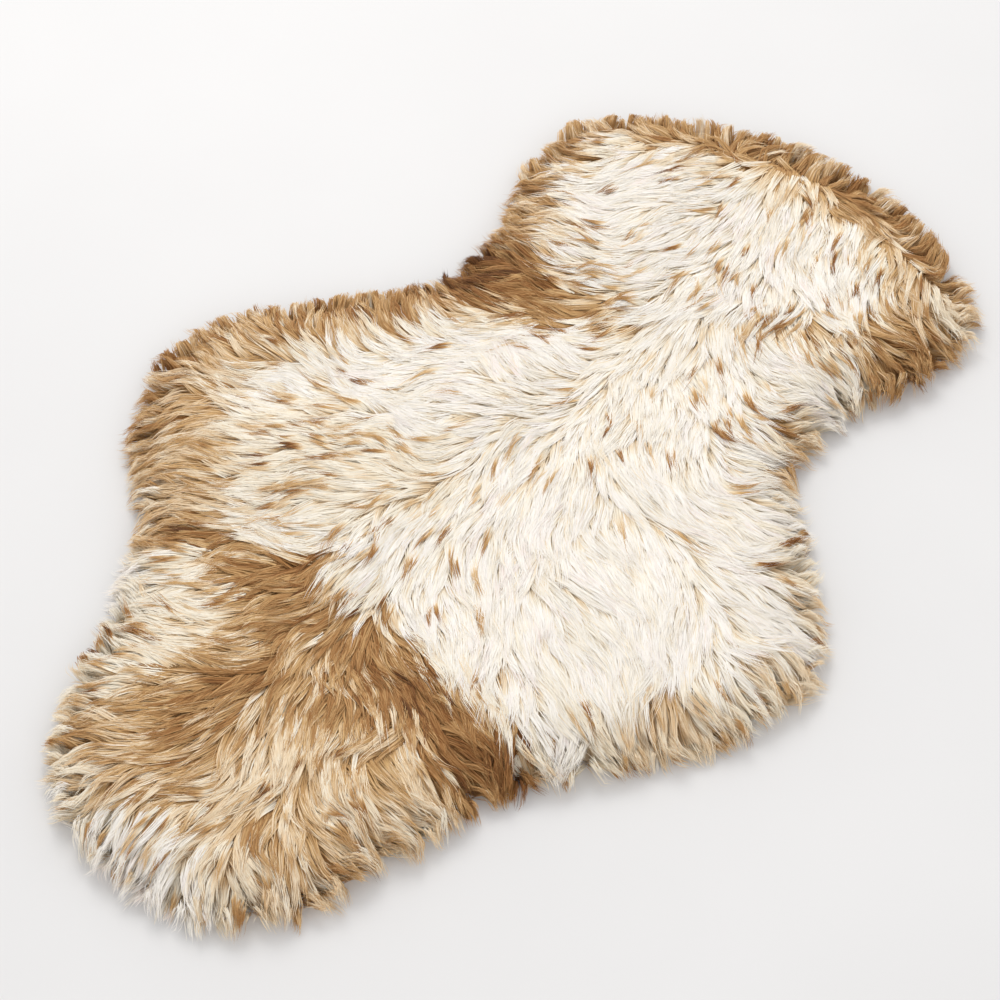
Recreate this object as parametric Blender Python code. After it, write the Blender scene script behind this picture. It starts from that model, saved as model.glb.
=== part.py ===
# Sheepskin rug laid out flat: one tanned pelt with its long wool on, as one solid.
# Metres, +Z up. +X is across the pelt, +Y runs from its neck end to its rump end, and it lies on Z = 0.
from collections import namedtuple

import bmesh
import bpy
import numpy as np

mm = 0.001

# Driving sizes
pelt_length = 1250 * mm   # from wool tip to wool tip, as are all sizes here
wool_height = 55 * mm     # of the laid wool above the surface, away from the edge
lowest_wool = 30 * mm     # what the deepest crease leaves, away from the edge
edge_rounding = 80 * mm   # how far in from the outline the wool reaches its height
end_rounding = 185 * mm   # how far from each end the sides start to turn in
end_squareness = 2.4      # 2 rounds the ends as an ellipse does, and more makes them squarer
rows = 88                 # of the mesh, along the pelt
row_crowding = 0.85       # how much closer together they lie at both ends
columns = 36              # of the mesh, across it
column_crowding = 0.8
edge_count = 1200         # points on each side, from which the distance to the outline is taken
edge_crowding = 0.9
sharp_edge_deg = 60       # edges that turn more than this are shaded as edges

# How far the sides lie to the left and right of the spine, by the distance from the neck end,
# before the ends are rounded off
Section = namedtuple("Section", "along left right")
outline = [
    Section(0 * mm, 168 * mm, 184 * mm),      # neck end
    Section(110 * mm, 196 * mm, 194 * mm),
    Section(250 * mm, 234 * mm, 226 * mm),
    Section(350 * mm, 290 * mm, 268 * mm),
    Section(440 * mm, 376 * mm, 342 * mm),
    Section(530 * mm, 414 * mm, 400 * mm),    # left shoulder
    Section(610 * mm, 402 * mm, 424 * mm),    # right shoulder
    Section(690 * mm, 348 * mm, 398 * mm),
    Section(770 * mm, 274 * mm, 318 * mm),
    Section(850 * mm, 230 * mm, 250 * mm),    # waist
    Section(930 * mm, 240 * mm, 250 * mm),
    Section(1010 * mm, 268 * mm, 282 * mm),   # left haunch
    Section(1090 * mm, 268 * mm, 306 * mm),   # right haunch
    Section(1160 * mm, 240 * mm, 304 * mm),
    Section(1250 * mm, 176 * mm, 262 * mm),   # rump end
]

# Waves that the tufts give to the outline and to the top: their length, their height, where they start and,
# for the top, which way they run from the X axis
Wave = namedtuple("Wave", "length height start turn_deg", defaults=[0])
left_waves = [Wave(118 * mm, 4 * mm, 20 * mm), Wave(71 * mm, 2 * mm, 0 * mm)]
right_waves = [Wave(131 * mm, 4 * mm, 75 * mm), Wave(64 * mm, 2 * mm, 10 * mm)]
top_waves = [
    Wave(109 * mm, 1.6 * mm, 0 * mm, 24),
    Wave(143 * mm, 1.6 * mm, 60 * mm, 98),
    Wave(172 * mm, 1.6 * mm, 25 * mm, 151),
]

# Soft troughs that being draped has left in the pelt, and swells between them: the middle of each, its turn
# from the X axis, its half-length, its half-width and its depth, which is negative for a swell
Crease = namedtuple("Crease", "across along turn_deg reach width depth")
creases = [
    Crease(20 * mm, 852 * mm, 7, 330 * mm, 50 * mm, 12 * mm),       # bend at the waist
    Crease(-10 * mm, 356 * mm, -6, 330 * mm, 46 * mm, 10 * mm),     # bend at the neck
    Crease(-4 * mm, 600 * mm, 89, 440 * mm, 26 * mm, 6 * mm),       # parting of the wool along the spine
    Crease(-240 * mm, 600 * mm, 52, 170 * mm, 42 * mm, 9 * mm),     # fold into the left shoulder
    Crease(250 * mm, 668 * mm, 130, 180 * mm, 44 * mm, 8 * mm),     # fold into the right shoulder
    Crease(70 * mm, 1080 * mm, 152, 150 * mm, 55 * mm, 7 * mm),     # dip in the haunches
    Crease(40 * mm, 180 * mm, 100, 130 * mm, 40 * mm, 6 * mm),      # dip down the neck
    Crease(170 * mm, 520 * mm, 20, 120 * mm, 90 * mm, -6 * mm),     # swell of the right shoulder
    Crease(-130 * mm, 470 * mm, 160, 120 * mm, 80 * mm, -5 * mm),   # swell of the left shoulder
    Crease(20 * mm, 960 * mm, 10, 160 * mm, 60 * mm, -5 * mm),      # swell behind the waist
]


def smooth_curve(at, knots, values):
    # Goes through the values with no kink at a knot: each knot's slope is that between its neighbours
    knots, values = np.asarray(knots), np.asarray(values)
    slopes = np.gradient(values, knots)
    i = np.clip(np.searchsorted(knots, at, side="right") - 1, 0, len(knots) - 2)
    step = knots[i + 1] - knots[i]
    t = (at - knots[i]) / step
    level = values[i] * (1 + 2 * t) * (1 - t) ** 2 + values[i + 1] * t**2 * (3 - 2 * t)
    lean = step * t * (1 - t) * (slopes[i] * (1 - t) - slopes[i + 1] * t)
    return level + lean


def wave_sum(at, waves):
    return sum(wave.height * np.sin(2 * np.pi * (at - wave.start) / wave.length) for wave in waves)


def sides(along):
    # The left and right edges of the pelt as X values, drawn together to one point at each end
    knots = [row.along for row in outline]
    left = smooth_curve(along, knots, [row.left for row in outline]) + wave_sum(along, left_waves)
    right = smooth_curve(along, knots, [row.right for row in outline]) + wave_sum(along, right_waves)
    from_end = np.minimum(along, pelt_length - along)
    short = 1 - np.clip(from_end / end_rounding, 0, 1)
    drawn_in = (1 - short**end_squareness) ** (1 / end_squareness)
    middle, half = (right - left) / 2, (right + left) / 2 * drawn_in
    return middle - half, middle + half


def crowded(count, crowding):
    # Shares from 0 to 1 that lie closer together towards both ends
    even = np.linspace(0, 1, count)
    return (1 - crowding) * even + crowding * (1 - np.cos(np.pi * even)) / 2


def edge_points():
    along = pelt_length * crowded(edge_count, edge_crowding)
    left, right = sides(along)
    return np.concatenate([np.stack([left, along], 1), np.stack([right, along], 1)])


def crease_depth(places):
    depth = np.zeros(len(places))
    for crease in creases:
        turn = np.radians(crease.turn_deg)
        off = places - [crease.across, crease.along]
        lengthways = off @ [np.cos(turn), np.sin(turn)]
        sideways = off @ [-np.sin(turn), np.cos(turn)]
        depth += crease.depth * np.exp(-((lengthways / crease.reach) ** 2) - (sideways / crease.width) ** 2)
    return depth


def tuft_height(places):
    height = np.zeros(len(places))
    for wave in top_waves:
        turn = np.radians(wave.turn_deg)
        height += wave_sum(places @ [np.cos(turn), np.sin(turn)], [wave])
    return height


def wool_top(places, edge):
    # The height of the wool: a quarter of an ellipse in from the outline, then level but for creases and tufts
    from_edge = np.array([np.hypot(*(edge - place).T).min() for place in places])
    inward = np.clip(from_edge / edge_rounding, 0, 1)
    dome = np.sqrt(1 - (1 - inward) ** 2)
    return dome * np.maximum(wool_height - crease_depth(places) + tuft_height(places), lowest_wool)


def top_grid():
    # A row of points for each step along the pelt, from its left edge to its right, and their heights
    along = pelt_length * crowded(rows, row_crowding)[1:-1]
    left, right = sides(along)
    x = left[:, None] + (right - left)[:, None] * crowded(columns, column_crowding)
    places = np.stack([x, np.repeat(along[:, None], columns, 1)], 2)
    heights = wool_top(places.reshape(-1, 2), edge_points()).reshape(x.shape)
    heights[:, [0, -1]] = 0
    return places, heights


def pelt_mesh():
    places, heights = top_grid()
    neck_tip, rump_tip = (np.array([sides(end)[0], end]) for end in (0, pelt_length))
    middle = np.array([(places[..., 0].min() + places[..., 0].max()) / 2, pelt_length / 2])
    shape = bmesh.new()
    neck, rump = (shape.verts.new((*(tip - middle), 0)) for tip in (neck_tip, rump_tip))
    grid = [
        [shape.verts.new((*(place - middle), height)) for place, height in zip(*line)]
        for line in zip(places, heights)
    ]
    for low, high in zip(grid, grid[1:]):
        for i in range(columns - 1):
            shape.faces.new((low[i], low[i + 1], high[i + 1], high[i]))
    for i in range(columns - 1):
        shape.faces.new((neck, grid[0][i + 1], grid[0][i]))
        shape.faces.new((rump, grid[-1][i], grid[-1][i + 1]))
    left_side = [line[0] for line in grid]
    right_side = [line[-1] for line in grid]
    shape.faces.new([neck, *left_side, rump, *right_side[::-1]])
    bmesh.ops.recalc_face_normals(shape, faces=shape.faces)
    bmesh.ops.triangulate(shape, faces=shape.faces)
    mesh = bpy.data.meshes.new("sheepskin")
    shape.to_mesh(mesh)
    shape.free()
    mesh.shade_smooth()
    mesh.set_sharp_from_angle(angle=np.radians(sharp_edge_deg))
    return mesh


def wool_finish():
    finish = bpy.data.materials.new("wool")
    finish.use_nodes = True
    surface = finish.node_tree.nodes["Principled BSDF"]
    surface.inputs["Base Color"].default_value = (0.78, 0.66, 0.48, 1)
    surface.inputs["Roughness"].default_value = 0.9
    surface.inputs["Metallic"].default_value = 0
    return finish


def clear_scene():
    for thing in list(bpy.data.objects):
        bpy.data.objects.remove(thing)


clear_scene()
sheepskin = bpy.data.objects.new("sheepskin", pelt_mesh())
sheepskin.data.materials.append(wool_finish())
bpy.context.scene.collection.objects.link(sheepskin)
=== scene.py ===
import math
from collections import namedtuple

import bmesh
import bpy
import numpy as np
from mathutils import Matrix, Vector
from mathutils.bvhtree import BVHTree


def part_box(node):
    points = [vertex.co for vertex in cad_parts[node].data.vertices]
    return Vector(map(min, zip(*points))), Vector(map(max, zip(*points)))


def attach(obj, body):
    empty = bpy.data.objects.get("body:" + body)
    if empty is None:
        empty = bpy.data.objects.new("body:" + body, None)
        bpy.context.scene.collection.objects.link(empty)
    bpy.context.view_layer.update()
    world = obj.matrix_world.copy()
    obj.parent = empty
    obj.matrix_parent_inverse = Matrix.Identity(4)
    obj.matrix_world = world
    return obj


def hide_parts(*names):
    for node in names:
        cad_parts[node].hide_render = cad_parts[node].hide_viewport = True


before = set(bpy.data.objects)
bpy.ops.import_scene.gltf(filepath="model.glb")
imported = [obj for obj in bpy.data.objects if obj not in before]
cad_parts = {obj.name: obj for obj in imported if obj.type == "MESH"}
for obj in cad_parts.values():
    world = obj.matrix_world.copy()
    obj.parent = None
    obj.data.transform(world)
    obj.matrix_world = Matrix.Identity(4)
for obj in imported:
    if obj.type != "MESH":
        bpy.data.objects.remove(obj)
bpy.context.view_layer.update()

mm = 0.001
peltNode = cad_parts["sheepskin"]
dice = np.random.default_rng(41)


# The pelt's lie: how high the wool's tips are and how far in from its outline a place is, over a fine grid
pelt = {
    "gridStep": 4 * mm,
    "gridMargin": 44 * mm,  # how far the grid runs past the outline
    "outlineStep": 3 * mm,
    "softenings": 6,        # rounds of smoothing before the way out to the edge is read
    "rimPasses": 6,         # rounds that pull a cut sheet's rim onto its line
    "rimPull": 0.8,
    "rimSmoothing": 0.3,
}


def peltShell():
    shell = bmesh.new()
    shell.from_mesh(peltNode.data)
    bmesh.ops.remove_doubles(shell, verts=shell.verts, dist=0.01 * mm)
    shell.faces.ensure_lookup_table()
    return shell


def outlinePoints(shell, spacing):
    points = []
    for edge in shell.edges:
        downs = [face.normal.z < -0.9 for face in edge.link_faces]
        if downs.count(True) == 1:
            start, end = (np.array(v.co[:2]) for v in edge.verts)
            count = max(1, round(np.hypot(*(end - start)) / spacing))
            points += [start + (end - start) * i / count for i in range(count)]
    return np.array(points)


def softened(field, times):
    for _ in range(times):
        field = (field + np.roll(field, 1, 0) + np.roll(field, -1, 0)) / 3
        field = (field + np.roll(field, 1, 1) + np.roll(field, -1, 1)) / 3
    return field


print("reading the pelt's outline and height")
shell = peltShell()
tree = BVHTree.FromBMesh(shell)
low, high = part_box("sheepskin")
margin, step = pelt["gridMargin"], pelt["gridStep"]
gridX = np.arange(low[0] - margin, high[0] + margin, step)
gridY = np.arange(low[1] - margin, high[1] + margin, step)
outline = outlinePoints(shell, pelt["outlineStep"])
heightField = np.zeros((len(gridX), len(gridY)))
inwardField = np.zeros_like(heightField)
for i, x in enumerate(gridX):
    for j, y in enumerate(gridY):
        hit = tree.ray_cast(Vector((x, y, 1)), Vector((0, 0, -1)))[0]
        heightField[i, j] = hit.z if hit else 0
    gaps = np.hypot(outline[:, 0, None] - x, outline[:, 1, None] - gridY[None]).min(0)
    inwardField[i] = np.where(heightField[i] > 0, gaps, -gaps)
shell.free()
softInward = softened(inwardField, pelt["softenings"])
outX, outY = (-slope for slope in np.gradient(softInward, step))


def sampled(field, x, y):
    i = np.clip((x - gridX[0]) / step, 0, len(gridX) - 1.001)
    j = np.clip((y - gridY[0]) / step, 0, len(gridY) - 1.001)
    i0, j0 = i.astype(int), j.astype(int)
    di, dj = i - i0, j - j0
    nearRow = field[i0, j0] * (1 - dj) + field[i0, j0 + 1] * dj
    farRow = field[i0 + 1, j0] * (1 - dj) + field[i0 + 1, j0 + 1] * dj
    return nearRow * (1 - di) + farRow * di


def inward(x, y):
    return sampled(inwardField, x, y)


def tipHeight(x, y):
    return sampled(heightField, x, y)


def ramped(value, start, end):
    share = np.clip((value - start) / (end - start), 0, 1)
    return share * share * (3 - 2 * share)


def between(pair, share):
    return pair[0] + (pair[1] - pair[0]) * share


def ripple(x, y, length, seed, waves=7):
    # Smooth noise from -1 to 1: a sum of waves that run in all directions
    own = np.random.default_rng(seed)
    total = 0
    for turn, start, stretch in own.random((waves, 3)):
        along = x * math.cos(math.tau * turn) + y * math.sin(math.tau * turn)
        total = total + np.sin(math.tau * (along / (length * (0.7 + 0.8 * stretch)) + start))
    return np.clip(total / math.sqrt(waves) / 1.4, -1, 1)


# The dense wool under the long locks, a closed mound
underWoolSizes = {
    "inset": 34 * mm,       # from the outline of the wool's tips in to the under-wool's rim
    "fray": 5 * mm,         # how far the rim wanders from that line
    "frayLength": 30 * mm,
    "share": 0.84,          # of the wool's height that the under-wool fills
    "slope": 60 * mm,       # from the rim in to that height
    "lumps": 0.07,
    "lumpLength": 34 * mm,
    "fineLumps": 0.05,
    "fineLumpLength": 17 * mm,
    "rimTop": 3.2 * mm,
    "bottom": 2.7 * mm,
    "cell": 9 * mm,
}


def underWoolTop(x, y):
    sizes = underWoolSizes
    rise = np.clip((inward(x, y) - sizes["inset"]) / sizes["slope"], 0, 1)
    lumps = 1 + sizes["lumps"] * ripple(x, y, sizes["lumpLength"], 3)
    lumps = lumps + sizes["fineLumps"] * ripple(x, y, sizes["fineLumpLength"], 4)
    return sizes["share"] * tipHeight(x, y) * np.sqrt(1 - (1 - rise) ** 2) * lumps


# Where each shade of wool shows, in mm. Shade runs from 0, a rosy white, through white, cream, straw, gold,
# tan and caramel to 1, dark brown. Borders run along the outline on the left (-1), the right (1) or both
# sides (0), patches are ovals, and later rows cover earlier ones.
Patch = namedtuple("Patch", "name x y turnDeg reach width shade cover")
patches = [
    Patch("straw on the left of the shoulders", -170, -120, 20, 170, 85, 0.27, 0.7),
    Patch("cream on the right of the waist", 60, 180, 100, 150, 70, 0.17, 0.6),
    Patch("caramel across the waist's left", -150, 215, 10, 125, 44, 0.66, 0.85),
    Patch("caramel band behind the neck", 10, -285, -4, 330, 60, 0.66, 1.0),
    Patch("brown in that band", 120, -300, 10, 130, 34, 0.81, 0.85),
    Patch("brown left end of that band", -160, -262, 25, 70, 28, 0.82, 0.8),
    Patch("mottled tan neck", 20, -450, 0, 240, 150, 0.52, 1.0),
    Patch("caramel streak down the neck", -60, -420, 80, 95, 42, 0.70, 0.8),
    Patch("pale middle of the neck", 45, -460, 70, 80, 38, 0.30, 0.75),
    Patch("pale tan right side of the neck", 150, -435, 60, 95, 50, 0.38, 0.8),
    Patch("cream before the neck end", 75, -560, 15, 80, 28, 0.24, 0.7),
    Patch("cream left side of the neck", -185, -410, 75, 130, 52, 0.22, 0.95),
    Patch("rosy white at the neck end", 10, -600, 0, 75, 28, 0.05, 0.85),
]
Border = namedtuple("Border", "name side fromY toY width shade cover")
borders = [
    Border("gold left shoulder", -1, -240, -10, 100, 0.45, 1.0),
    Border("brown rim of the left shoulder", -1, -205, -40, 44, 0.63, 0.8),
    Border("tan before the waist", -1, -20, 160, 84, 0.59, 1.0),
    # This dark brown border is painted shade: the shadow of a fold, laid as dark wool over the tan left
    # edge of the flat pelt.
    Border("painted fold shade left of the waist", -1, 160, 290, 92, 0.84, 0.95),
    Border("tan left haunch", -1, 290, 480, 62, 0.57, 1.0),
    Border("caramel right haunch", 1, 345, 490, 92, 0.63, 1.0),
    Border("tan rump", 0, 478, 660, 112, 0.58, 1.0),
    Border("white notch in the right haunch", 1, 478, 520, 90, 0.16, 0.8),
    Border("tan right of the waist", 1, 190, 285, 40, 0.58, 0.85),
    Border("rosy hem of the right shoulder", 1, -60, 120, 34, 0.40, 0.8),
    Border("tan corner of the right shoulder", 1, -200, -80, 52, 0.50, 0.8),
]
coat = {
    "openShade": 0.12,            # of the white wool between the patches
    "openDrift": 0.05,
    "openDriftLength": 70 * mm,
    "wander": 16 * mm,            # how far the patches' outlines stray
    "wanderLength": 90 * mm,
    "fineWander": 9 * mm,
    "fineWanderLength": 34 * mm,
    "fading": (0.72, 1.24),       # share of its width over which a patch or border fades out
    "endFade": 28 * mm,           # over which a border's ends fade out
    "sideFade": 60 * mm,
    "mottle": 0.13,
    "mottleLength": 46 * mm,
    "fineMottle": 0.6,            # against the coarse mottle
    "fineMottleLength": 20 * mm,
    "mingled": 9 * mm,            # how far off a lock reads its shade, so that tan and white locks mingle
    "speckled": 0.09,             # share of the white wool with brown tips
    "frosted": 0.2,               # the same beside tan wool
    "fleckSpacing": 14 * mm,
    "loneFlecks": 0.3,            # share of locks that take brown tips singly, not with their neighbours
    "fleckPatches": 1.4,          # how unevenly the brown tips are strewn, over a short and a long way
    "fleckPatchLength": 34 * mm,
    "fleckDrift": 1.1,
    "fleckDriftLength": 140 * mm,
    "silkyFlecksLost": 0.8,
    "rumpFlecks": 0.7,            # how many more the rump has
    "fleckedRump": (120 * mm, 320 * mm),
    "fleckShade": 0.44,           # of the palest brown tips
    "fleckRange": 0.5,            # from that to the darkest
    "fleckNoise": 0.06,
    "lockNoise": 0.02,
    "tanLockNoise": 0.03,         # on top of that in tan wool
    "tanTuftNoise": 0.04,
    "paleLocks": 0.1,             # share of the tan locks that are paler
    "paler": 0.10,
    "darkLocks": 0.16,
    "darker": 0.09,
    "strandNoise": 0.02,
    "tanStrandNoise": 0.05,
    "strawStrands": 0.10,         # share of the white strands that are straw
    "strawAbove": (0.06, 0.2),    # how much darker those are
    "whiteBelow": 0.3,
}


def wander(x, y, seed):
    wide = coat["wander"] * ripple(x, y, coat["wanderLength"], seed)
    return wide + coat["fineWander"] * ripple(x, y, coat["fineWanderLength"], seed + 1)


def growingShade(x, y):
    wanderX, wanderY = wander(x, y, 11), wander(x, y, 13)
    shade = coat["openShade"] + coat["openDrift"] * ripple(x, y, coat["openDriftLength"], 15)
    for patch in patches:
        turn = math.radians(patch.turnDeg)
        dx, dy = x + wanderX - patch.x * mm, y + wanderY - patch.y * mm
        along = (dx * math.cos(turn) + dy * math.sin(turn)) / (patch.reach * mm)
        across = (dy * math.cos(turn) - dx * math.sin(turn)) / (patch.width * mm)
        share = patch.cover * (1 - ramped(np.hypot(along, across), *coat["fading"]))
        shade = shade + (patch.shade - shade) * share
    depth = inward(x, y) + 0.8 * wanderX
    fade = coat["endFade"]
    for border in borders:
        within = ramped(y + wanderY, border.fromY * mm - fade, border.fromY * mm + fade)
        within = within * (1 - ramped(y + wanderY, border.toY * mm - fade, border.toY * mm + fade))
        if border.side:
            within = within * ramped(border.side * x, 0, coat["sideFade"])
        share = border.cover * within * (1 - ramped(depth / (border.width * mm), *coat["fading"]))
        shade = shade + (border.shade - shade) * share
    tan = ramped(shade, 0.25, 0.55)
    coarse = ripple(x, y, coat["mottleLength"], 16)
    fine = coat["fineMottle"] * ripple(x, y, coat["fineMottleLength"], 17)
    mottle = coat["mottle"] * (coarse + fine)
    return np.clip(shade + mottle * tan, 0.02, 0.98)


# Which way the wool lies: towards the neck and out to both sides, and straight out at the edges
nap = {
    "rump": (340 * mm, 520 * mm),    # where the rump begins, and where it is full
    "towardsNeck": 0.62,
    "partingSwing": 30 * mm,         # how far the line where the wool parts swings to each side
    "partingLength": 130 * mm,
    "sideways": 120 * mm,            # from that line to where the wool lies well over to the side
    "sidewaysLost": 0.65,            # of it on the rump
    "outward": 1.5,                  # pull of the outline at the edge
    "outwardBand": (25, 140),        # mm in from the edge, where the wool lies straight out and not at all
    "rumpBand": (5, 55),             # how much less these are on the rump
    "outwardWander": 18 * mm,
    "outwardWanderLength": 75 * mm,
    "swirl": 0.45,
    "swirlLength": 130 * mm,
    "fineSwirl": 0.28,
    "fineSwirlLength": 52 * mm,
}


def napDirection(x, y):
    # The way the wool lies at a place, and how firmly it lies that way
    strayed = nap["outwardWander"] * ripple(x, y, nap["outwardWanderLength"], 23)
    fromEdge = sampled(softInward, x, y) + strayed
    rump = ramped(y, *nap["rump"])
    start, end = ((reach - less * rump) * mm for reach, less in zip(nap["outwardBand"], nap["rumpBand"]))
    edge = 1 - ramped(fromEdge, start, end)
    fromParting = x - nap["partingSwing"] * np.sin(y / nap["partingLength"])
    sideways = np.tanh(fromParting / nap["sideways"]) * (1 - nap["sidewaysLost"] * rump)
    acrossX = sideways * (1 - edge) + sampled(outX, x, y) * edge * nap["outward"]
    alongY = -nap["towardsNeck"] * (1 - edge) + sampled(outY, x, y) * edge * nap["outward"]
    angle = np.arctan2(alongY, acrossX) + nap["swirl"] * ripple(x, y, nap["swirlLength"], 21)
    angle = angle + nap["fineSwirl"] * ripple(x, y, nap["fineSwirlLength"], 22)
    return np.cos(angle), np.sin(angle), np.hypot(acrossX, alongY)


# The wool: strands gathered into locks, and locks into tufts
wool = {
    "strands": 184000,
    "rows": (0, 0.42, 0.75, 1),      # where along its length a strand has corners
    "strandWidth": 0.95 * mm,
    "widthSpread": (0.6, 1.25),
    "strayWidth": 0.7,               # of a strand that keeps out of the locks, against the others'
    "narrowing": 0.6,                # share of its width that a strand loses before its tip
    "roll": 0.22,
    "rootInset": 27 * mm,            # from the outline in to the outermost roots
    "rootFade": 4 * mm,
    "edgeCrowd": 1.4,                # how much more wool the edge has, where it hangs open
    "edgeCrowdBand": (40 * mm, 80 * mm),
    "edgeBand": (35 * mm, 80 * mm),  # how far in the wool is edge wool, wholly and at all
    "lockSpacing": 9.5 * mm,
    "tuftSpacing": 40 * mm,
    "length": 60 * mm,               # of a lock's part above the under-wool
    "lengthSpread": 0.25,
    "leastLength": 8 * mm,
    "tipsBeyond": 15 * mm,           # how far past the outline the longest edge locks would reach
    "roomUsed": (0.7, 1.6),          # how much of the way there a lock's length covers
    "tipsHeld": 19 * mm,             # how far past the outline a lock stops for good
    "heldOver": 26 * mm,             # the way over which it slows down before that
    "probe": 3 * mm,                 # how far ahead a lock reads the slope it lies on
    "steepest": 5,
    "leastStride": 0.03,
    "follow": 0.4,                   # how much of the way to the nap's direction a lock turns in a step
    "bend": 0.6,                     # share of its own turn that a lock has at its root
    "bendGained": 0.8,               # by its tip
    "parted": (0.2, 0.75),           # how firm the nap is where it parts, and where it no longer does
    "partingShift": 24 * mm,         # how far the tufts cross the line where the nap parts
    "tuftTurn": 0.26,                # how far the tufts turn from the nap
    "partingTurn": 0.8,              # how much further they do where it parts
    "lockTurn": 0.22,
    "lift": 0.56,                    # how high in the wool's depth the tips of the lowest locks lie
    "liftSpread": 0.3,
    "tuftSlope": 0.25,               # how much lower the locks round a tuft lie
    "tanTuftSlope": 0.2,             # on top of that in tan wool
    "tuftLift": 0.07,
    "fleckLift": 0.08,
    "strandLift": 0.05,
    "strayLift": 0.12,
    "rootLift": -0.35,
    "rootLiftSpread": 0.5,
    "arch": 0.56 * math.pi,          # how far over a strand bends from its root to its tip
    "shorter": 0.28,                 # how much shorter the strands round a lock are than its middle one
    "ragged": 0.22,
    "strayReach": 1.1,
    "gather": (0.30, 0.52),          # how far a lock's strands meet at its tip, in white wool and in tan
    "gatherSpread": (0.7, 1.2),
    "fleckGather": (0.4, 0.75),
    "tuftGather": (0.26, 0.52),      # how far a tuft's locks do so, inside the pelt and at its edge
    "flying": 0.6,                   # how far the edge locks may stand off from the way down to the floor
    "stray": (0.07, 0.16),           # share of strands out of the locks, inside the pelt and at its edge
    "loose": (0.45, 0.75),           # how far apart strands lie over one another, in white wool and in tan
    "wave": 1.2 * mm,
    "waveTurn": 5,
    "guideSteps": 16,
    "shownStep": 9,                  # along a lock's line, where its shade is read
    "floorGap": 0.8 * mm,
    "floorGapSpread": 3 * mm,
    "silkyX": 190 * mm,              # the middle of the long, silky wool on the right of the shoulders
    "silkyY": -20 * mm,
    "silkyReach": 230 * mm,
    "silkyLength": 0.35,             # how much longer it is
}


def silky(x, y):
    away = np.hypot(x - wool["silkyX"], y - wool["silkyY"]) / wool["silkyReach"]
    return 1 - ramped(away, 0.5, 1.1)


def jitteredCells(spacing, seed):
    # One place for each cell of a grid over the pelt, moved at random within its cell
    countX = int((gridX[-1] - gridX[0]) / spacing) + 1
    countY = int((gridY[-1] - gridY[0]) / spacing) + 1
    own = np.random.default_rng(seed)
    cells = np.stack(np.meshgrid(np.arange(countX), np.arange(countY), indexing="ij"), 2).astype(float)
    cells[..., 0] += 0.5 * (np.arange(countY) % 2)[None]
    cells += 0.15 + 0.7 * own.random(cells.shape)
    return cells * spacing + [gridX[0], gridY[0]]


def nearestCell(cells, spacing, x, y):
    i = ((x - gridX[0]) / spacing).astype(int)
    j = ((y - gridY[0]) / spacing).astype(int)
    best, found = np.full(len(x), 1e9), np.zeros((2, len(x)), int)
    for di in (-2, -1, 0, 1):
        for dj in (-1, 0, 1):
            ci = np.clip(i + di, 0, cells.shape[0] - 1)
            cj = np.clip(j + dj, 0, cells.shape[1] - 1)
            gap = np.hypot(cells[ci, cj, 0] - x, cells[ci, cj, 1] - y)
            closer = gap < best
            best = np.where(closer, gap, best)
            found = np.where(closer, np.stack([ci, cj]), found)
    return found[0], found[1]


def scatteredRoots():
    count, tries = wool["strands"], wool["strands"] * 5
    x = dice.uniform(gridX[0], gridX[-1], tries)
    y = dice.uniform(gridY[0], gridY[-1], tries)
    depth = inward(x, y)
    thick = ramped(depth, wool["rootInset"] - wool["rootFade"], wool["rootInset"])
    crowd = 1 + wool["edgeCrowd"] * (1 - ramped(depth, *wool["edgeCrowdBand"]))
    kept = np.flatnonzero(dice.random(tries) < thick * crowd / (1 + wool["edgeCrowd"]))
    print(f"  {len(kept)} roots to choose from")
    kept = kept[:count]
    return x[kept], y[kept]


def lockGuides(lockX, lockY, lockTurn, lockLength, shift):
    # Each lock's line over the wool, from its root on, worked out in small steps. The shift is how far off
    # a lock reads the nap, so that the wool doesn't part along a clean line.
    count, steps, probe = len(lockX), wool["guideSteps"], wool["probe"]
    guide = np.zeros((steps + 1, count, 2))
    guide[0] = np.stack([lockX, lockY], 1)
    wayX, wayY = np.zeros(count), np.zeros(count)
    for k in range(steps):
        x, y = guide[k].T
        napX, napY, firm = napDirection(x + shift[0], y + shift[1])
        follow = wool["follow"] * np.clip(firm, 0, 1) ** 2 if k else 1
        bend = lockTurn * (wool["bend"] + wool["bendGained"] * k / steps)
        wayX += (napX * np.cos(bend) - napY * np.sin(bend) - wayX) * follow
        wayY += (napX * np.sin(bend) + napY * np.cos(bend) - wayY) * follow
        size = np.hypot(wayX, wayY) + 1e-9
        wayX, wayY = wayX / size, wayY / size
        drop = (tipHeight(x + wayX * probe, y + wayY * probe) - tipHeight(x, y)) / probe
        share = 1 / np.sqrt(1 + np.clip(drop, -wool["steepest"], wool["steepest"]) ** 2)
        held = np.clip((inward(x, y) + wool["tipsHeld"]) / wool["heldOver"], wool["leastStride"], 1)
        stride = lockLength / steps * share * held
        guide[k + 1] = guide[k] + np.stack([wayX, wayY], 1) * stride[:, None]
    return guide


def alongGuides(guide, lock, share):
    place = np.clip(share, 0, 1) * (len(guide) - 1.001)
    k = place.astype(int)
    part = (place - k)[:, None]
    return guide[k, lock] * (1 - part) + guide[k + 1, lock] * part


Locks = namedtuple("Locks", "x y lockCount tuft tuftCount edge silk fromTuft guide")


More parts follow.
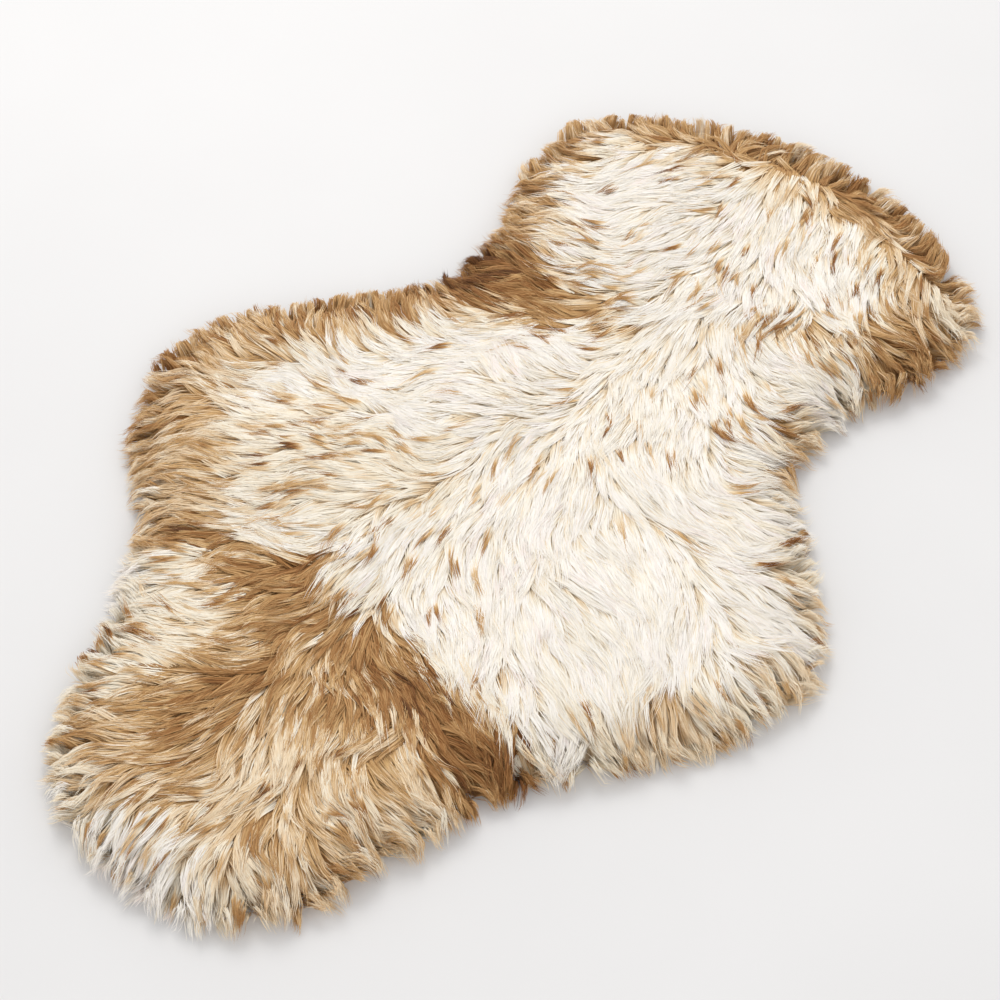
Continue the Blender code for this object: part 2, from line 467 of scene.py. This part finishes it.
def laidLocks(lockCells):
    # Where the locks stand, the tuft that each belongs to and the line that it follows over the wool
    tuftCells = jitteredCells(wool["tuftSpacing"], 52)
    x, y = lockCells[..., 0].ravel(), lockCells[..., 1].ravel()
    tuftI, tuftJ = nearestCell(tuftCells, wool["tuftSpacing"], x, y)
    tuft = tuftI * tuftCells.shape[1] + tuftJ
    tuftX, tuftY = tuftCells[..., 0].ravel(), tuftCells[..., 1].ravel()
    count, tuftCount = len(x), len(tuftX)
    edge = 1 - ramped(inward(x, y), *wool["edgeBand"])
    silk = silky(x, y)
    fromTuft = np.hypot(x - tuftX[tuft], y - tuftY[tuft]) / wool["tuftSpacing"]

    # Where the nap parts, the tufts lie every way and cover the parting
    parting = 1 - ramped(napDirection(tuftX, tuftY)[2], *wool["parted"])
    tuftWay = (wool["tuftTurn"] + wool["partingTurn"] * parting) * dice.normal(size=tuftCount)
    tuftShift = wool["partingShift"] * parting * dice.normal(size=(2, tuftCount))
    lockTurn = tuftWay[tuft] + wool["lockTurn"] * dice.normal(size=count) * (1 - 0.4 * silk)
    length = wool["length"] * (1 + wool["lengthSpread"] * dice.uniform(-1, 1, count))
    length *= (1 + wool["silkyLength"] * silk) * (1 + edge * (0.16 - 0.5 * fromTuft))
    room = (inward(x, y) + wool["tipsBeyond"]) * dice.uniform(*wool["roomUsed"], count)
    length = np.clip(length, wool["leastLength"], np.maximum(room, wool["leastLength"]))
    guide = lockGuides(x, y, lockTurn, length, tuftShift[:, tuft])
    tuftLength = np.full(tuftCount, wool["length"])
    tuftGuide = lockGuides(tuftX, tuftY, tuftWay, tuftLength, tuftShift)[:, tuft]
    together = between(wool["tuftGather"], edge)
    for k in range(wool["guideSteps"] + 1):
        pull = together * (k / wool["guideSteps"]) ** 1.4
        guide[k] += (tuftGuide[k] - guide[k]) * pull[:, None]
    return Locks(x, y, count, tuft, tuftCount, edge, silk, fromTuft, guide)


def lockShades(locks):
    # Each lock's shade, how tan the wool round it is, and whether it has a brown tip
    count = locks.lockCount
    fleckCells = jitteredCells(coat["fleckSpacing"], 53)
    mingled = coat["mingled"] * np.random.default_rng(54).normal(size=(2, count))
    shade = growingShade(*(locks.guide[wool["shownStep"]].T + mingled))
    tan = ramped(shade, 0.25, 0.5)
    draw = dice.random(count)
    nearTan = ramped(shade, 0.15, 0.24) * (1 - tan)
    shade = shade + (coat["lockNoise"] + coat["tanLockNoise"] * tan) * dice.normal(size=count)
    shade = shade + coat["tanTuftNoise"] * tan * dice.normal(size=locks.tuftCount)[locks.tuft]
    shade = shade - coat["paler"] * tan * (draw < coat["paleLocks"])
    shade = shade + coat["darker"] * tan * (draw > 1 - coat["darkLocks"])

    fleckField = 1 + coat["fleckPatches"] * ripple(locks.x, locks.y, coat["fleckPatchLength"], 31)
    fleckField = fleckField + coat["fleckDrift"] * ripple(locks.x, locks.y, coat["fleckDriftLength"], 32)
    fleckField = fleckField * (1 - coat["silkyFlecksLost"] * locks.silk)
    fleckField = fleckField * (1 + coat["rumpFlecks"] * ramped(locks.y, *coat["fleckedRump"]))
    fleckI, fleckJ = nearestCell(fleckCells, coat["fleckSpacing"], locks.x, locks.y)
    cellDraw, cellShade = dice.random((2, *fleckCells.shape[:2]))[:, fleckI, fleckJ]
    fleckDraw = np.where(dice.random(count) < coat["loneFlecks"], dice.random(count), cellDraw)
    speckled = fleckDraw < coat["speckled"] * (1 - tan) * fleckField + coat["frosted"] * nearTan
    fleckShade = coat["fleckShade"] + coat["fleckRange"] * cellShade**1.4
    fleckShade = fleckShade + coat["fleckNoise"] * dice.normal(size=count)
    return np.where(speckled, fleckShade, shade), tan, speckled


def woolStrands():
    rootX, rootY = scatteredRoots()
    count = len(rootX)
    lockCells = jitteredCells(wool["lockSpacing"], 51)
    locks = laidLocks(lockCells)
    shade, tan, speckled = lockShades(locks)
    lockI, lockJ = nearestCell(lockCells, wool["lockSpacing"], rootX, rootY)
    lock = lockI * lockCells.shape[1] + lockJ
    edge = locks.edge
    slope = wool["tuftSlope"] + wool["tanTuftSlope"] * tan
    openLift = wool["lift"] + wool["liftSpread"] * dice.random(locks.lockCount) - slope * locks.fromTuft**2
    tuftLift = wool["tuftLift"] * dice.uniform(-1, 1, locks.tuftCount)
    openLift += tuftLift[locks.tuft] + wool["fleckLift"] * speckled
    lockLift = openLift * (1 - edge) + edge * dice.random(locks.lockCount) ** 0.8

    stray = dice.random(count) < between(wool["stray"], edge)[lock]
    offset = np.stack([rootX - locks.x[lock], rootY - locks.y[lock]], 1)
    fromLock = np.clip(np.hypot(*offset.T) / (0.6 * wool["lockSpacing"]), 0, 1)
    longest = wool["strayReach"]
    reach = 1 - wool["shorter"] * fromLock - wool["ragged"] * dice.random(count)
    reach = np.where(stray, longest, reach)
    lockGather = between(wool["gather"], np.maximum(tan, edge))
    lockGather = lockGather * dice.uniform(*wool["gatherSpread"], locks.lockCount)
    lockGather = np.where(speckled, dice.uniform(*wool["fleckGather"], locks.lockCount), lockGather)
    gather = np.where(stray, 0.0, lockGather[lock])
    lift = lockLift[lock] + wool["strandLift"] * dice.normal(size=count)
    lift = lift + np.where(stray, wool["strayLift"], 0)
    rootLift = wool["rootLift"] + wool["rootLiftSpread"] * dice.random(count)
    waveStart = math.tau * dice.random(locks.lockCount)[lock] + 0.8 * dice.normal(size=count)
    waveSize = wool["wave"] * (0.4 + dice.random(locks.lockCount))[lock]
    hover = wool["floorGap"] + wool["floorGapSpread"] * dice.random(count) ** 2
    flying = (wool["flying"] * edge * dice.random(locks.lockCount) ** 1.3)[lock]
    rootTop = 0.85 * tipHeight(locks.x, locks.y)[lock]
    loose = between(wool["loose"], tan)
    loose = (loose + (1 - loose) * edge)[lock]

    points = np.zeros((len(wool["rows"]), count, 3))
    arch = wool["arch"]
    for k, share in enumerate(wool["rows"]):
        centre = alongGuides(locks.guide, lock, share * reach / longest)
        ahead = alongGuides(locks.guide, lock, np.minimum(share * reach / longest + 0.1, 1)) - centre
        ahead /= np.linalg.norm(ahead, axis=1)[:, None] + 1e-9
        across = np.stack([-ahead[:, 1], ahead[:, 0]], 1)
        spread = 1 - gather * share**0.8
        wave = waveSize * np.sin(waveStart + share * wool["waveTurn"]) * share
        flat = centre + offset * spread[:, None] + across * wave[:, None]
        under, top = underWoolTop(*flat.T), tipHeight(*flat.T)
        rise = rootLift + (lift - rootLift) * np.sin(share * arch) / math.sin(arch)
        rise = 1 - (1 - np.clip(rise, -0.6, 1.12)) * loose
        height = under + (top - under) * rise
        points[k, :, :2] = flat
        points[k, :, 2] = np.maximum(height + flying * share**1.5 * np.maximum(rootTop - height, 0), hover)
    uneven = coat["strandNoise"] + coat["tanStrandNoise"] * tan[lock]
    shadeOf = shade[lock] + uneven * dice.normal(size=count)
    straw = (dice.random(count) < coat["strawStrands"]) & (shadeOf < coat["whiteBelow"])
    shadeOf = np.where(straw, shadeOf + dice.uniform(*coat["strawAbove"], count), shadeOf)
    width = wool["strandWidth"] * dice.uniform(*wool["widthSpread"], count)
    width = width * np.where(stray, wool["strayWidth"], 1)
    return points, np.clip(shadeOf, 0.02, 0.98), speckled[lock], width


# Where a strand's colour is kept in its UV map: its shade across, brown-tipped strands in the right half,
# and root to tip up
uvPlan = {
    "tippedFrom": 0.5,
    "shadeFrom": 0.015,
    "shadeSpan": 0.47,
    "strandWidth": 0.004,
    "rootAt": 0.02,
    "lengthSpan": 0.96,
}


def strandMesh(name, points, shade, tipped, width):
    # Each strand is a ribbon that narrows to a point
    spans, count = len(points) - 1, points.shape[1]
    ahead = np.gradient(points, axis=0)
    ahead /= np.linalg.norm(ahead, axis=2)[..., None] + 1e-9
    side = np.cross(ahead, [0, 0, 1])
    side /= np.linalg.norm(side, axis=2)[..., None] + 1e-9
    roll = dice.normal(0, wool["roll"], count)[None, :, None]
    side = side * np.cos(roll) + np.cross(ahead, side) * np.sin(roll)
    share = np.array(wool["rows"])
    taper = (1 - wool["narrowing"] * share**2)[:, None, None]
    half = side * taper * width[None, :, None] / 2
    edges = np.stack([points - half, points + half], 1)[:-1].reshape(2 * spans, count, 3)
    corners = np.concatenate([edges, points[-1:]]).transpose(1, 0, 2)
    perStrand = 2 * spans + 1
    quads = [[2 * k, 2 * k + 1, 2 * k + 3, 2 * k + 2] for k in range(spans - 1)]
    outline = np.array(sum(quads, []) + [2 * spans - 2, 2 * spans - 1, 2 * spans])
    sizes = np.tile([4] * (spans - 1) + [3], count)
    loops = (outline[None] + perStrand * np.arange(count)[:, None]).ravel()

    mesh = bpy.data.meshes.new(name)
    mesh.vertices.add(perStrand * count)
    mesh.vertices.foreach_set("co", corners.ravel())
    mesh.loops.add(len(loops))
    mesh.loops.foreach_set("vertex_index", loops)
    mesh.polygons.add(len(sizes))
    mesh.polygons.foreach_set("loop_start", np.concatenate([[0], np.cumsum(sizes)[:-1]]))
    mesh.update(calc_edges=True)
    across = np.where(tipped, uvPlan["tippedFrom"], 0) + uvPlan["shadeSpan"] * shade + uvPlan["shadeFrom"]
    sides = np.append(np.tile([-1, 1], spans), 0)
    u = across[:, None] + uvPlan["strandWidth"] * sides[None]
    v = np.append(np.repeat(share[:-1], 2), 1) * uvPlan["lengthSpan"] + uvPlan["rootAt"]
    uv = np.stack([u, np.broadcast_to(v, u.shape)], 2)
    layer = mesh.uv_layers.new(name="OFBake")
    layer.uv.foreach_set("vector", uv[:, outline].ravel())
    mesh.shade_smooth()
    return mesh


# Shader maths as plain expressions
class Wire:
    def __init__(self, nodes, socket):
        self.nodes, self.socket = nodes, socket

    def math(self, operation, *others):
        inputs = [self, *others]
        return addNode(self.nodes, "ShaderNodeMath", {"operation": operation}, dict(enumerate(inputs)))

    def __add__(self, other):
        return self.math("ADD", other)

    def __mul__(self, other):
        return self.math("MULTIPLY", other)

    def __sub__(self, other):
        return self.math("SUBTRACT", other)

    def __rsub__(self, other):
        return (self * -1) + other

    def __gt__(self, other):
        return self.math("GREATER_THAN", other)

    __radd__ = __add__
    __rmul__ = __mul__

    def eased(self, start, end):
        settings = {"interpolation_type": "SMOOTHSTEP"}
        inputs = {"Value": self, "From Min": start, "From Max": end}
        return addNode(self.nodes, "ShaderNodeMapRange", settings, inputs)


def addNode(nodes, kind, settings=None, inputs=None, output=0):
    node = nodes.new(kind)
    for name, value in (settings or {}).items():
        if name == "stops":
            ramp = node.color_ramp
            while len(ramp.elements) < len(value):
                ramp.elements.new(0.5)
            for element, (place, colour) in zip(ramp.elements, value):
                element.position = place
                element.color = (*colour, 1)
        else:
            setattr(node, name, value)
    for name, value in (inputs or {}).items():
        socket = node.inputs[name]
        if isinstance(value, Wire):
            nodes.id_data.links.new(value.socket, socket)
        else:
            socket.default_value = value
    return Wire(nodes, node.outputs[output])


def fromScreen(*levels):
    # Screen colour levels from 0 to 255, as the linear colour that shaders take
    shares = [level / 255 for level in levels]
    return tuple(s / 12.92 if s <= 0.04045 else ((s + 0.055) / 1.055) ** 2.4 for s in shares)


def newFinish(name, roughness):
    finish = bpy.data.materials.new(name)
    finish.use_nodes = True
    nodes = finish.node_tree.nodes
    shader = nodes["Principled BSDF"]
    shader.inputs["Roughness"].default_value = roughness
    return finish, nodes, shader


def linkTo(shader, name, wire):
    wire.nodes.id_data.links.new(wire.socket, shader.inputs[name])


def noise(nodes, scale, detail):
    place = addNode(nodes, "ShaderNodeTexCoord", output="Object")
    return addNode(nodes, "ShaderNodeTexNoise", inputs={"Vector": place, "Scale": scale, "Detail": detail})


def coloured(nodes, shader, stops, seen):
    linkTo(shader, "Base Color", addNode(nodes, "ShaderNodeValToRGB", {"stops": stops}, {"Fac": seen}))


def bumped(nodes, shader, height, strength, distance):
    inputs = {"Height": height, "Strength": strength, "Distance": distance}
    linkTo(shader, "Normal", addNode(nodes, "ShaderNodeBump", inputs=inputs))


woolShades = [
    (0.00, fromScreen(250, 236, 229)),
    (0.10, fromScreen(254, 250, 244)),
    (0.26, fromScreen(250, 240, 220)),
    (0.40, fromScreen(240, 216, 180)),
    (0.53, fromScreen(214, 175, 121)),
    (0.66, fromScreen(190, 145, 94)),
    (0.78, fromScreen(167, 118, 69)),
    (0.89, fromScreen(136, 88, 47)),
    (1.00, fromScreen(90, 58, 35)),
]


strandLook = {
    "roughness": 0.6,
    "specular": 0.15,
    "sheen": 0.08,
    "sheenRoughness": 0.4,
    # A strand's root is painted a darker straw than its tip: partly the wool's own root tone, partly
    # painted warm shade where the roots show between the locks.
    "rootShare": 0.56,          # of a strand's shade that its root has
    "rootStrawAndShade": 0.30,          # added to that
    "fleckRoot": 0.24,          # of the root under a brown tip
    "turns": (0.05, 0.55),      # where along its length a strand turns from its root's shade to its own
    "fleckTurns": (0.3, 0.85),  # the same under a brown tip
}


def strandFinish():
    look = strandLook
    finish, nodes, shader = newFinish("wool strands", look["roughness"])
    place = addNode(nodes, "ShaderNodeUVMap", {"uv_map": "OFBake"})
    u = addNode(nodes, "ShaderNodeSeparateXYZ", inputs={"Vector": place})
    v = Wire(nodes, u.socket.node.outputs[1])
    tipped = u > uvPlan["tippedFrom"]
    shade = (u - tipped * uvPlan["tippedFrom"] - uvPlan["shadeFrom"]) * (1 / uvPlan["shadeSpan"])
    # The root's darker straw is partly the wool's own tone and partly painted warm shade of the gaps
    # between locks.
    plainRootStrawAndShade = shade * look["rootShare"] + look["rootStrawAndShade"]
    rootStrawAndShade = plainRootStrawAndShade * (1 - tipped) + tipped * look["fleckRoot"]
    turned = v.eased(*look["turns"]) * (1 - tipped) + v.eased(*look["fleckTurns"]) * tipped
    coloured(nodes, shader, woolShades, rootStrawAndShade + (shade - rootStrawAndShade) * turned)
    shader.inputs["Specular IOR Level"].default_value = look["specular"]
    shader.inputs["Sheen Weight"].default_value = look["sheen"]
    shader.inputs["Sheen Roughness"].default_value = look["sheenRoughness"]
    return finish


# The under-wool is painted a darker straw than the white wool above it: partly the wool's own colour,
# partly painted warm shade of the gaps between the locks.
underWoolLook = {
    "shadeShare": 0.68,  # of the shade of the wool above it
    "strawAndShadeAdded": 0.24,
    "shadeNoise": 0.1,
    "grain": 420,
    "bump": 2 * mm,
}


def underWoolFinish():
    look = underWoolLook
    finish, nodes, shader = newFinish("under-wool", roughness=0.9)
    above = addNode(nodes, "ShaderNodeAttribute", {"attribute_name": "shade"}, output="Fac")
    fine = noise(nodes, look["grain"], detail=4)
    # The added straw is partly the wool's own colour and partly painted warm shade of the gaps between
    # locks.
    shade = above * look["shadeShare"] + look["strawAndShadeAdded"] + (fine - 0.5) * look["shadeNoise"]
    coloured(nodes, shader, woolShades, shade)
    bumped(nodes, shader, fine, strength=0.8, distance=look["bump"])
    return finish


def hideFinish():
    finish, nodes, shader = newFinish("suede hide", roughness=0.85)
    cloud, nub = noise(nodes, scale=9, detail=5), noise(nodes, scale=900, detail=3)
    suede = [
        (0.3, fromScreen(206, 184, 150)),
        (0.5, fromScreen(224, 206, 176)),
        (0.7, fromScreen(236, 222, 198)),
    ]
    coloured(nodes, shader, suede, cloud * 0.7 + nub * 0.3)
    bumped(nodes, shader, nub, strength=0.5, distance=0.4 * mm)
    return finish


def placed(name, mesh, finish):
    piece = bpy.data.objects.new(name, mesh)
    piece.data.materials.append(finish)
    bpy.context.scene.collection.objects.link(piece)
    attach(piece, "root")
    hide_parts("sheepskin")
    return piece


def peltSheet(inset, cell, fray=0, frayLength=30 * mm):
    # A flat grid cut to the pelt's outline, drawn in by the inset, with its rim pulled onto that line
    sheet = bmesh.new()
    countX, countY = (int((b - a) / cell) + 2 for a, b in zip(low[:2], high[:2]))
    bmesh.ops.create_grid(sheet, x_segments=countX, y_segments=countY, size=0.5)
    bmesh.ops.scale(sheet, vec=(countX * cell, countY * cell, 1), verts=sheet.verts)
    depth = {v: float(inward(np.array([v.co.x]), np.array([v.co.y]))[0]) - inset for v in sheet.verts}
    bmesh.ops.delete(sheet, geom=[v for v in sheet.verts if depth[v] < 0], context="VERTS")
    for _ in range(pelt["rimPasses"]):
        rim = [v for v in sheet.verts if v.is_boundary]
        places = np.array([v.co[:2] for v in rim]).T
        off = (inward(*places) - inset - fray * ripple(*places, frayLength, 61)) * pelt["rimPull"]
        wayX, wayY = sampled(outX, *places), sampled(outY, *places)
        for v, x, y in zip(rim, off * wayX, off * wayY):
            v.co.x += x
            v.co.y += y
        smoothing = pelt["rimSmoothing"]
        bmesh.ops.smooth_vert(sheet, verts=rim, factor=smoothing, use_axis_x=True, use_axis_y=True)
    return sheet


def closedMesh(name, sheet, top, bottom):
    # A flat sheet as a closed shape: its upper side, its lower side turned over and a wall round its rim
    sheet.verts.index_update()
    places = np.array([v.co[:2] for v in sheet.verts])
    count = len(places)
    upper = np.column_stack([places, np.broadcast_to(top, count)])
    lower = np.column_stack([places, np.full(count, bottom)])
    faces = [[v.index for v in face.verts] for face in sheet.faces]
    faces += [[count + i for i in (face[0], *face[:0:-1])] for face in faces]
    for edge in sheet.edges:
        if edge.is_boundary:
            loop = edge.link_loops[0]
            start, end = loop.vert.index, loop.link_loop_next.vert.index
            faces.append([end, start, count + start, count + end])
    sheet.free()
    mesh = bpy.data.meshes.new(name)
    mesh.from_pydata(np.concatenate([upper, lower]), [], faces)
    mesh.shade_smooth()
    return mesh


print("cutting the hide")
hideSizes = {
    "inset": 40 * mm,      # from the outline of the wool's tips in to the cut edge of the hide
    "thickness": 2.2 * mm,
    "floorGap": 0.3 * mm,
    "cell": 12 * mm,
}
skin = peltSheet(hideSizes["inset"], hideSizes["cell"])
hideArea = sum(face.calc_area() for face in skin.faces)
hideBottom = hideSizes["floorGap"]
hideMesh = closedMesh("hide", skin, hideBottom + hideSizes["thickness"], hideBottom)
hide = placed("hide", hideMesh, hideFinish())

print("building up the under-wool")
sizes = underWoolSizes
mound = peltSheet(sizes["inset"], sizes["cell"], sizes["fray"], sizes["frayLength"])
places = np.array([v.co[:2] for v in mound.verts]).T
heights = np.maximum(underWoolTop(*places), sizes["rimTop"])
moundMesh = closedMesh("underWool", mound, heights, sizes["bottom"])
places = np.array([v.co[:2] for v in moundMesh.vertices]).T
shadeLayer = moundMesh.attributes.new("shade", "FLOAT", "POINT")
shadeLayer.data.foreach_set("value", growingShade(*places).astype(np.float32))
underWool = placed("underWool", moundMesh, underWoolFinish())

print("laying the wool")
points, shade, tipped, width = woolStrands()
order = np.argsort(points[0, :, 1])
woolFinish = strandFinish()
tuftNames = ["woolNeck", "woolWithers", "woolShoulders", "woolWaist", "woolRump"]
for name, part in zip(tuftNames, np.array_split(order, len(tuftNames))):
    mesh = strandMesh(name, points[:, part], shade[part], tipped[part], width[part])
    placed(name, mesh, woolFinish)
    print(f"  {name}: {len(part)} strands")


# A plain pale floor, soft light from all round and a camera above the rug
studio = {
    "azimuth": 38,
    "elevation": 54,
    "distance": 3.4,
    "lens": 112,
    "target": Vector((0.0, 0.0, 0.0)),
    "skyLevel": 0.82,
    "floorReach": 12,
}


def floorFinish():
    finish, nodes, shader = newFinish("floor", roughness=0.7)
    pale = [(0.3, fromScreen(225, 224, 224)), (0.7, fromScreen(228, 227, 227))]
    coloured(nodes, shader, pale, noise(nodes, scale=2.5, detail=3))
    return finish


def softLight(name, place, size, power, colour):
    lamp = bpy.data.lights.new(name, "AREA")
    lamp.shape, lamp.size, lamp.energy, lamp.color = "DISK", size, power, colour
    lit = bpy.data.objects.new(name, lamp)
    lit.location = place
    lit.rotation_euler = (-Vector(place)).to_track_quat("-Z", "Y").to_euler()
    bpy.context.scene.collection.objects.link(lit)


print("setting the studio")
floor = bmesh.new()
bmesh.ops.create_grid(floor, x_segments=1, y_segments=1, size=studio["floorReach"])
floorMesh = bpy.data.meshes.new("floor")
floor.to_mesh(floorMesh)
floor.free()
floorPiece = bpy.data.objects.new("floor", floorMesh)
floorPiece.data.materials.append(floorFinish())
bpy.context.scene.collection.objects.link(floorPiece)

softLight("key", place=(-1.6, 1.2, 2.6), size=1.8, power=40, colour=(1, 0.985, 0.96))
softLight("fill", place=(2.4, -1.8, 2.4), size=2.6, power=16, colour=(1, 0.99, 0.98))

world = bpy.data.worlds.new("studio")
world.use_nodes = True
sky = world.node_tree.nodes["Background"]
sky.inputs["Color"].default_value = (1, 1, 1, 1)
sky.inputs["Strength"].default_value = studio["skyLevel"]
bpy.context.scene.world = world
bpy.context.scene.view_settings.view_transform = "Standard"

azimuth, elevation = math.radians(studio["azimuth"]), math.radians(studio["elevation"])
outwards = math.cos(elevation)
back = Vector((math.sin(azimuth) * outwards, -math.cos(azimuth) * outwards, math.sin(elevation)))
lens = bpy.data.cameras.new("camera")
lens.lens = studio["lens"]
camera = bpy.data.objects.new("camera", lens)
camera.location = studio["target"] + back * studio["distance"]
camera.rotation_euler = back.to_track_quat("Z", "Y").to_euler()
bpy.context.scene.collection.objects.link(camera)
bpy.context.scene.camera = camera
